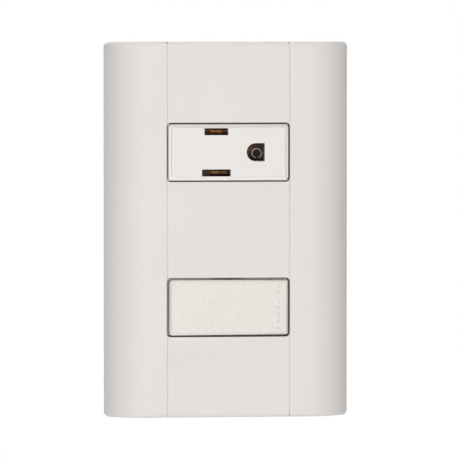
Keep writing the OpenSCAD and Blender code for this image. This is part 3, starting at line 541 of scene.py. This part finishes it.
def finishTree(tree, shape, places, material, output):
    # Puts the shape on every place, turned as the place says, and gives it its finish
    tilt = tree.nodes.new("GeometryNodeInputNamedAttribute")
    tilt.data_type = "FLOAT_VECTOR"
    tilt.inputs["Name"].default_value = "tilt"
    turn = tree.nodes.new("FunctionNodeEulerToRotation")
    put = tree.nodes.new("GeometryNodeInstanceOnPoints")
    realize = tree.nodes.new("GeometryNodeRealizeInstances")
    smooth = tree.nodes.new("GeometryNodeSetShadeSmooth")
    crisp = tree.nodes.new("GeometryNodeSetShadeSmooth")
    fold = tree.nodes.new("GeometryNodeInputMeshEdgeAngle")
    paint = tree.nodes.new("GeometryNodeSetMaterial")
    crisp.domain = "EDGE"
    crisp.inputs["Shade Smooth"].default_value = False
    sharpEdge = addMath(tree, "GREATER_THAN", fold.outputs["Unsigned Angle"], crispAngle)
    tree.links.new(tilt.outputs["Attribute"], turn.inputs["Euler"])
    tree.links.new(places, put.inputs["Points"])
    tree.links.new(shape, put.inputs["Instance"])
    tree.links.new(turn.outputs["Rotation"], put.inputs["Rotation"])
    tree.links.new(put.outputs["Instances"], realize.inputs["Geometry"])
    tree.links.new(realize.outputs["Geometry"], smooth.inputs["Geometry"])
    tree.links.new(smooth.outputs["Geometry"], crisp.inputs["Geometry"])
    tree.links.new(sharpEdge, crisp.inputs["Selection"])
    tree.links.new(crisp.outputs["Geometry"], paint.inputs["Geometry"])
    tree.links.new(material, paint.inputs["Material"])
    tree.links.new(paint.outputs["Geometry"], output.inputs["Made"])


def growFromPlaces(name, tree, places, values, material, body, replaced=()):
    # places: point, direction of the shape's Z and turn about it, of each copy
    mesh = bpy.data.meshes.new(name + "Places")
    mesh.from_pydata([place[0] for place in places], [], [])
    tilt = mesh.attributes.new("tilt", "FLOAT_VECTOR", "POINT")
    for index, (point, direction, turn) in enumerate(places):
        aim = Vector(direction).to_track_quat("Z", "X").to_matrix().to_4x4()
        tilt.data[index].vector = (aim @ Matrix.Rotation(turn, 4, "Z")).to_euler()
    seed = bpy.data.objects.new(name + "Seed", mesh)
    bpy.context.collection.objects.link(seed)
    modifier = seed.modifiers.new("grow", "NODES")
    modifier.node_group = tree
    for item in tree.interface.items_tree:
        if item.in_out == "INPUT" and item.name in values:
            modifier[item.identifier] = values[item.name]
        if item.in_out == "INPUT" and item.name == "Finish":
            modifier[item.identifier] = material
    bpy.context.view_layer.update()
    grown = seed.evaluated_get(bpy.context.evaluated_depsgraph_get())
    made = bpy.data.objects.new(name, bpy.data.meshes.new_from_object(grown))
    bpy.context.collection.objects.link(made)
    seed.modifiers.remove(modifier)
    bpy.data.objects.remove(seed)
    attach(made, body)
    if replaced:
        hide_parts(*replaced)
    print("grown:", name, "faces", len(made.data.polygons))
    return made


def loosePieces(name):
    # Low and high corner of each separate solid in a CAD node
    work = bmesh.new()
    work.from_mesh(cadNodes[name].data)
    bmesh.ops.remove_doubles(work, verts=work.verts, dist=mergeDistance)
    left = set(work.verts)
    found = []
    while left:
        group = [left.pop()]
        corners = []
        while group:
            vertex = group.pop()
            corners.append(vertex.co.copy())
            for edge in vertex.link_edges:
                other = edge.other_vert(vertex)
                if other in left:
                    left.remove(other)
                    group.append(other)
        low = Vector(min(c[i] for c in corners) for i in range(3))
        high = Vector(max(c[i] for c in corners) for i in range(3))
        found.append((low, high))
    work.free()
    return sorted(found, key=lambda pair: (pair[0].z, pair[0].x))


# Screws: pan head with a slot, a neck and a rolled thread

# Counts, and shares of the head's height, the thread's radius and the pitch
screwShape = {
    "head corners": 48, "head rings": 6, "head caps": 8, "roll power": 4.0, "roll in": -0.12,
    "bite": 0.25, "cone": 0.5, "tip corners": 24,
    "wind steps": 20, "run out": 1.6, "start": 0.3, "thread width": 0.48,
}


def makeScrewTree():
    tree, given, output = startTree("slottedScrew", [
        ("Head radius", "NodeSocketFloat", 0.003), ("Head height", "NodeSocketFloat", 0.002),
        ("Crown", "NodeSocketFloat", 0.3), ("Slot width", "NodeSocketFloat", 0.001),
        ("Slot depth", "NodeSocketFloat", 0.001), ("Neck", "NodeSocketFloat", 0.001),
        ("Neck radius", "NodeSocketFloat", 0.001), ("Length", "NodeSocketFloat", 0.01),
        ("Thread radius", "NodeSocketFloat", 0.0015), ("Thread depth", "NodeSocketFloat", 0.0003),
        ("Pitch", "NodeSocketFloat", 0.0006), ("Finish", "NodeSocketMaterial", None),
    ])
    links = tree.links
    size = given.outputs
    shape = screwShape

    # Head: a rod whose rim is rolled in and whose crown is raised
    height = size["Head height"]
    block = addRod(
        tree, size["Head radius"], height,
        shape["head corners"], shape["head rings"], shape["head caps"],
    )
    block = addMoved(tree, block, addVector(tree, z=addMath(tree, "MULTIPLY", height, -0.5)))
    where = tree.nodes.new("GeometryNodeInputPosition")
    parts = tree.nodes.new("ShaderNodeSeparateXYZ")
    links.new(where.outputs[0], parts.inputs[0])
    level = addMath(tree, "DIVIDE", addMath(tree, "MULTIPLY", parts.outputs["Z"], -1.0), height)
    squareX = addMath(tree, "MULTIPLY", parts.outputs["X"], parts.outputs["X"])
    squareY = addMath(tree, "MULTIPLY", parts.outputs["Y"], parts.outputs["Y"])
    fromAxis = addMath(tree, "SQRT", addMath(tree, "ADD", squareX, squareY))
    reach = addMath(tree, "DIVIDE", fromAxis, size["Head radius"])
    rolled = addMath(tree, "POWER", level, shape["roll power"])
    rollIn = addMath(tree, "MULTIPLY_ADD", rolled, shape["roll in"], 1.0)
    drop = addMath(tree, "MULTIPLY", size["Crown"], addMath(tree, "MULTIPLY", reach, reach))
    lift = addMath(tree, "MULTIPLY", level, addMath(tree, "SUBTRACT", 1.0, drop))
    shapeHead = tree.nodes.new("GeometryNodeSetPosition")
    links.new(block, shapeHead.inputs["Geometry"])
    links.new(addVector(
        tree,
        addMath(tree, "MULTIPLY", parts.outputs["X"], rollIn),
        addMath(tree, "MULTIPLY", parts.outputs["Y"], rollIn),
        addMath(tree, "MULTIPLY", addMath(tree, "MULTIPLY", lift, height), -1.0),
    ), shapeHead.inputs["Position"])

    # Driver slot across the crown
    bar = tree.nodes.new("GeometryNodeMeshCube")
    links.new(addVector(
        tree,
        addMath(tree, "MULTIPLY", size["Head radius"], 3.0),
        size["Slot width"],
        addMath(tree, "MULTIPLY", size["Slot depth"], 2.0),
    ), bar.inputs["Size"])
    crownZ = addMath(tree, "MULTIPLY", height, -1.0)
    sunk = addMoved(tree, bar.outputs["Mesh"], addVector(tree, z=crownZ))
    cut = tree.nodes.new("GeometryNodeMeshBoolean")
    cut.operation = "DIFFERENCE"
    links.new(shapeHead.outputs["Geometry"], cut.inputs["Mesh 1"])
    links.new(sunk, cut.inputs["Mesh 2"])

    # Neck and core, which starts in the head and ends in a blunt cone
    coreRadius = addMath(tree, "SUBTRACT", size["Thread radius"], size["Thread depth"])
    bite = addMath(tree, "MULTIPLY", height, shape["bite"])
    neckLength = addMath(tree, "ADD", size["Neck"], bite)
    neck = addRod(tree, size["Neck radius"], neckLength)
    biteZ = addMath(tree, "MULTIPLY", bite, -1.0)
    neckMiddle = addMath(tree, "MULTIPLY_ADD", neckLength, 0.5, biteZ)
    neck = addMoved(tree, neck, addVector(tree, z=neckMiddle))
    cone = addMath(tree, "MULTIPLY", size["Thread radius"], shape["cone"])
    coreLength = addMath(tree, "SUBTRACT", addMath(tree, "ADD", size["Length"], bite), cone)
    core = addRod(tree, coreRadius, coreLength)
    coreMiddle = addMath(tree, "MULTIPLY_ADD", coreLength, 0.5, biteZ)
    core = addMoved(tree, core, addVector(tree, z=coreMiddle))
    tip = tree.nodes.new("GeometryNodeMeshCone")
    tip.inputs["Vertices"].default_value = shape["tip corners"]
    links.new(coreRadius, tip.inputs["Radius Bottom"])
    links.new(cone, tip.inputs["Radius Top"])
    links.new(cone, tip.inputs["Depth"])
    tipZ = addMath(tree, "SUBTRACT", size["Length"], cone)
    point = addMoved(tree, tip.outputs["Mesh"], addVector(tree, z=tipZ))

    # Thread: a diamond bar wound round the core
    pastNeck = addMath(tree, "SUBTRACT", size["Length"], size["Neck"])
    run = addMath(tree, "SUBTRACT", pastNeck, addMath(tree, "MULTIPLY", cone, shape["run out"]))
    wound = tree.nodes.new("GeometryNodeCurveSpiral")
    wound.inputs["Resolution"].default_value = shape["wind steps"]
    links.new(addMath(tree, "DIVIDE", run, size["Pitch"]), wound.inputs["Rotations"])
    links.new(coreRadius, wound.inputs["Start Radius"])
    links.new(coreRadius, wound.inputs["End Radius"])
    links.new(run, wound.inputs["Height"])
    upright = tree.nodes.new("GeometryNodeSetCurveNormal")
    upright.mode = "Z_UP"
    links.new(wound.outputs["Curve"], upright.inputs["Curve"])
    section = tree.nodes.new("GeometryNodeCurvePrimitiveCircle")
    section.inputs["Resolution"].default_value = 4
    section.inputs["Radius"].default_value = 1.0
    ribWidth = addMath(tree, "MULTIPLY", size["Pitch"], shape["thread width"])
    sized = addMoved(
        tree, section.outputs["Curve"], None, addVector(tree, size["Thread depth"], ribWidth, 1.0),
    )
    rib = tree.nodes.new("GeometryNodeCurveToMesh")
    rib.inputs["Fill Caps"].default_value = True
    links.new(upright.outputs["Curve"], rib.inputs["Curve"])
    links.new(sized, rib.inputs["Profile Curve"])
    ribStart = addMath(tree, "MULTIPLY_ADD", cone, shape["start"], size["Neck"])
    ribPlaced = addMoved(tree, rib.outputs["Mesh"], addVector(tree, z=ribStart))
    whole = tree.nodes.new("GeometryNodeJoinGeometry")
    for made in (cut.outputs["Mesh"], neck, core, point, ribPlaced):
        links.new(made, whole.inputs["Geometry"])
    finishTree(tree, whole.outputs["Geometry"], size["Places"], size["Finish"], output)
    return tree


screwTree = makeScrewTree()
terminalScrew = {
    "slot": "brass", "finish": "brassScrew", "head at": "back",
    "Head height": 0.0019, "Crown": 0.30, "Slot width": 0.00076, "Slot depth": 0.00095,
    "Thread radius": 0.0015, "Thread depth": 0.00022, "Pitch": 0.0005,
    "Neck": 0.0002, "Neck radius": 0.00145,
}
housingScrew = {
    "slot": "zinc_steel", "finish": "zincSteel", "head at": "back", "turns": (25, 25),
    "Head height": 0.0014, "Crown": 0.30, "Slot width": 0.00056, "Slot depth": 0.0007,
    "Thread radius": 0.0009, "Thread depth": 0.00018, "Pitch": 0.0007,
    "Neck": 0.0002, "Neck radius": 0.0009,
}
screwSets = {
    "boxScrews": {
        "node": "box_screws", "slot": "zinc_steel", "finish": "zincSteel", "head at": "front",
        "turns": (12, -12),
        "Head height": 0.0022, "Crown": 0.42, "Slot width": 0.00088, "Slot depth": 0.0011,
        "Thread radius": 0.00175, "Thread depth": 0.00028, "Pitch": 0.0008,
        "Neck": 0.0024, "Neck radius": 0.00145,
    },
    "socketTerminalScrews": {
        **terminalScrew, "node": "socket_terminal_screws", "turns": (35, -35),
    },
    "earthTerminalScrew": {
        **terminalScrew, "node": "earth_terminal_screw", "turns": (70,),
        "slot": "earth_green", "finish": "earthGreen",
    },
    "switchTerminalScrews": {
        **terminalScrew, "node": "switch_terminal_screws", "turns": (-30, 70),
    },
    "socketHousingScrews": {**housingScrew, "node": "socket_housing_screws"},
    "switchHousingScrews": {**housingScrew, "node": "switch_housing_screws"},
}


def driveScrews(name, screws):
    headHeight = screws["Head height"]
    places = []
    for (low, high), turn in zip(loosePieces(screws["node"]), screws["turns"]):
        middle = (low + high) / 2
        atFront = screws["head at"] == "front"
        seatY = low.y + headHeight if atFront else high.y - headHeight
        direction = (0, 1, 0) if atFront else (0, -1, 0)
        places.append(((middle.x, seatY, middle.z), direction, math.radians(turn)))
    sizes = {label: value for label, value in screws.items() if label[0].isupper()}
    sizes["Head radius"] = (high.x - low.x) / 2
    sizes["Length"] = high.y - low.y - headHeight
    growFromPlaces(
        name, screwTree, places, sizes, finishes[screws["finish"]],
        "fixed_parts", (screws["node"],),
    )


for name, screws in screwSets.items():
    driveScrews(name, screws)


# Spring behind the plunger: closed end turns, wound along the plunger's own axis

springSizes = {
    "Radius": 0.00145, "Wire radius": 0.0002, "Free length": 0.0036, "Turns": 6.0, "Closing": 0.35,
    "fixed end": 0.0016, "wind steps": 40, "wire corners": 12, "finish": "zincSteel",
}


def makeSpringTree(sizes):
    tree, given, output = startTree("plungerCoil", [
        ("Radius", "NodeSocketFloat", 0.001), ("Wire radius", "NodeSocketFloat", 0.0002),
        ("Free length", "NodeSocketFloat", 0.004), ("Turns", "NodeSocketFloat", 5.0),
        ("Closing", "NodeSocketFloat", 0.3), ("Finish", "NodeSocketMaterial", None),
    ])
    links = tree.links
    size = given.outputs
    wound = tree.nodes.new("GeometryNodeCurveSpiral")
    wound.inputs["Resolution"].default_value = sizes["wind steps"]
    links.new(size["Turns"], wound.inputs["Rotations"])
    links.new(size["Radius"], wound.inputs["Start Radius"])
    links.new(size["Radius"], wound.inputs["End Radius"])
    links.new(size["Free length"], wound.inputs["Height"])
    # The pitch is small at both ends and wide in the middle
    along = tree.nodes.new("GeometryNodeSplineParameter")
    wave = addMath(tree, "SINE", addMath(tree, "MULTIPLY", along.outputs["Factor"], 2 * math.pi))
    closing = addMath(tree, "MULTIPLY", wave, size["Closing"])
    pull = addMath(tree, "MULTIPLY", closing, -0.5 / math.pi)
    shift = tree.nodes.new("GeometryNodeSetPosition")
    links.new(wound.outputs["Curve"], shift.inputs["Geometry"])
    offset = addMath(tree, "MULTIPLY", pull, size["Free length"])
    links.new(addVector(tree, z=offset), shift.inputs["Offset"])
    section = tree.nodes.new("GeometryNodeCurvePrimitiveCircle")
    section.inputs["Resolution"].default_value = sizes["wire corners"]
    links.new(size["Wire radius"], section.inputs["Radius"])
    wire = tree.nodes.new("GeometryNodeCurveToMesh")
    wire.inputs["Fill Caps"].default_value = True
    links.new(shift.outputs["Geometry"], wire.inputs["Curve"])
    links.new(section.outputs["Curve"], wire.inputs["Profile Curve"])
    finishTree(tree, wire.outputs["Mesh"], size["Places"], size["Finish"], output)
    return tree


def windSpring(sizes):
    joints = {joint["name"]: joint for joint in frame["joints"]}
    axis = Vector(joints["plunger_slide"]["axis"]).normalized()
    pivot = Vector(joints["key_rock"]["pos_m"])
    fixedEnd = pivot + axis * sizes["fixed end"]
    start = fixedEnd - axis * sizes["Wire radius"]
    values = {label: value for label, value in sizes.items() if label[0].isupper()}
    spring = growFromPlaces(
        "plungerCoil", makeSpringTree(sizes), [(start, -axis, 0)], values,
        finishes[sizes["finish"]], "key", ("plunger_spring",),
    )
    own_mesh(spring)


windSpring(springSizes)


# Split tubular rivet with a rolled lip, which shows at the bottom of the earth hole

rivetSizes = {
    "outer": 0.00165, "wall": 0.0003, "lip": 0.00020, "split": 0.0006, "waist": 0.0001,
    "lip start": -20, "lip sweep": 220, "lip steps": 12, "lip tail": 1.4,
    "steps": 72, "finish": "tinnedBrass",
}


def rollRivet(sizes):
    low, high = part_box("earth_eyelet")
    middle = (low + high) / 2
    inner = sizes["outer"] - sizes["wall"]
    lipMiddle = sizes["outer"] - sizes["lip"]
    waist = sizes["outer"] - sizes["waist"]
    corners = [(inner, high.y), (waist, high.y), (waist, low.y + sizes["lip"])]
    for step in range(sizes["lip steps"] + 1):
        angle = math.radians(sizes["lip start"] + step * sizes["lip sweep"] / sizes["lip steps"])
        corners.append((
            lipMiddle + sizes["lip"] * math.cos(angle),
            low.y + sizes["lip"] - sizes["lip"] * math.sin(angle),
        ))
    corners.append((inner, low.y + sizes["lip"] * sizes["lip tail"]))
    halfGap = sizes["split"] / 2 / sizes["outer"]
    start = -math.pi / 2 + halfGap
    sweep = 2 * math.pi - 2 * halfGap
    points = []
    for step in range(sizes["steps"] + 1):
        angle = start + sweep * step / sizes["steps"]
        for radius, depth in corners:
            x = middle.x + radius * math.cos(angle)
            z = middle.z + radius * math.sin(angle)
            points.append((x, depth, z))
    count = len(corners)
    faces = []
    for step in range(sizes["steps"]):
        for index in range(count):
            first = step * count + index
            second = step * count + (index + 1) % count
            faces.append((first, second, second + count, first + count))
    faces.append(tuple(range(count - 1, -1, -1)))
    faces.append(tuple(sizes["steps"] * count + index for index in range(count)))
    mesh = bpy.data.meshes.new("earthRivet")
    mesh.from_pydata(points, [], faces)
    work = bmesh.new()
    work.from_mesh(mesh)
    bmesh.ops.recalc_face_normals(work, faces=work.faces)
    for face in work.faces:
        face.smooth = len(face.verts) == 4
    work.to_mesh(mesh)
    work.free()
    mesh.materials.append(finishes[sizes["finish"]])
    rivet = bpy.data.objects.new("earthRivet", mesh)
    bpy.context.collection.objects.link(rivet)
    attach(rivet, "fixed_parts")
    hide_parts("earth_eyelet")


rollRivet(rivetSizes)
print("rivet rolled")


# Witness rings of the ejector pins on the backs of both housings

ejectorRings = {
    "Ring radius": 0.0013, "Line radius": 0.00006,
    "socketPlaces": [(-0.0040, 0.0015), (0.0085, -0.0065), (-0.0150, 0.0)],
    "switchPlaces": [(-0.0030, 0.0020), (0.0045, -0.0030)],
    "ring corners": 48, "line corners": 8, "finish": "housingIvory",
}


def makeRingTree(rings):
    tree, given, output = startTree("witnessRing", [
        ("Ring radius", "NodeSocketFloat", 0.001), ("Line radius", "NodeSocketFloat", 0.0001),
        ("Finish", "NodeSocketMaterial", None),
    ])
    ring = tree.nodes.new("GeometryNodeCurvePrimitiveCircle")
    line = tree.nodes.new("GeometryNodeCurvePrimitiveCircle")
    made = tree.nodes.new("GeometryNodeCurveToMesh")
    ring.inputs["Resolution"].default_value = rings["ring corners"]
    line.inputs["Resolution"].default_value = rings["line corners"]
    tree.links.new(given.outputs["Ring radius"], ring.inputs["Radius"])
    tree.links.new(given.outputs["Line radius"], line.inputs["Radius"])
    tree.links.new(ring.outputs["Curve"], made.inputs["Curve"])
    tree.links.new(line.outputs["Curve"], made.inputs["Profile Curve"])
    finishTree(
        tree, made.outputs["Mesh"], given.outputs["Places"], given.outputs["Finish"], output,
    )
    return tree


def addWitnessRings(rings):
    tree = makeRingTree(rings)
    values = {label: value for label, value in rings.items() if label[0].isupper()}
    placesOf = {"socket_base": rings["socketPlaces"], "switch_base": rings["switchPlaces"]}
    for node, places in placesOf.items():
        low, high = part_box(node)
        middle = (low + high) / 2
        points = [((middle.x + x, high.y, middle.z + z), (0, 1, 0), 0) for x, z in places]
        growFromPlaces(
            node.split("_")[0] + "WitnessRings", tree, points, values,
            finishes[rings["finish"]], "fixed_parts",
        )


addWitnessRings(ejectorRings)


# Floor, a pale matt disc below the plate

floorSetup = {
    "height": -0.13, "radius": 0.55, "corners": 128, "glow": 0.45,
    "colour": (0.84, 0.84, 0.84), "dust shade": 0.98, "dust scale": 12, "roughness": 0.9,
}


def layFloor(setup):
    work = bmesh.new()
    bmesh.ops.create_circle(work, cap_ends=True, radius=setup["radius"], segments=setup["corners"])
    mesh = bpy.data.meshes.new("paleFloor")
    work.to_mesh(mesh)
    work.free()
    for vertex in mesh.vertices:
        vertex.co.z = setup["height"]
    material, shader = startMaterial("paleFloor")
    nodes = material.node_tree.nodes
    links = material.node_tree.links
    dust = addNoise(material, setup["dust scale"], 3.0)
    shade = tuple(value * setup["dust shade"] for value in setup["colour"])
    fade = addRamp(material, dust.outputs["Fac"], 0, 1)
    colour = addColourMix(material, fade, setup["colour"], shade)
    links.new(colour, shader.inputs["Base Color"])
    shader.inputs["Roughness"].default_value = setup["roughness"]
    # The camera sees the floor paler than it is lit, with the shadow kept
    output = next(node for node in nodes if node.type == "OUTPUT_MATERIAL")
    path = nodes.new("ShaderNodeLightPath")
    share = nodes.new("ShaderNodeMath")
    pale = nodes.new("ShaderNodeEmission")
    mix = nodes.new("ShaderNodeMixShader")
    share.operation = "MULTIPLY"
    share.inputs[1].default_value = setup["glow"]
    links.new(path.outputs["Is Camera Ray"], share.inputs[0])
    links.new(share.outputs[0], mix.inputs[0])
    links.new(shader.outputs["BSDF"], mix.inputs[1])
    links.new(pale.outputs[0], mix.inputs[2])
    links.new(mix.outputs[0], output.inputs["Surface"])
    mesh.materials.append(material)
    floor = bpy.data.objects.new("paleFloor", mesh)
    bpy.context.collection.objects.link(floor)


layFloor(floorSetup)
print("floor laid")
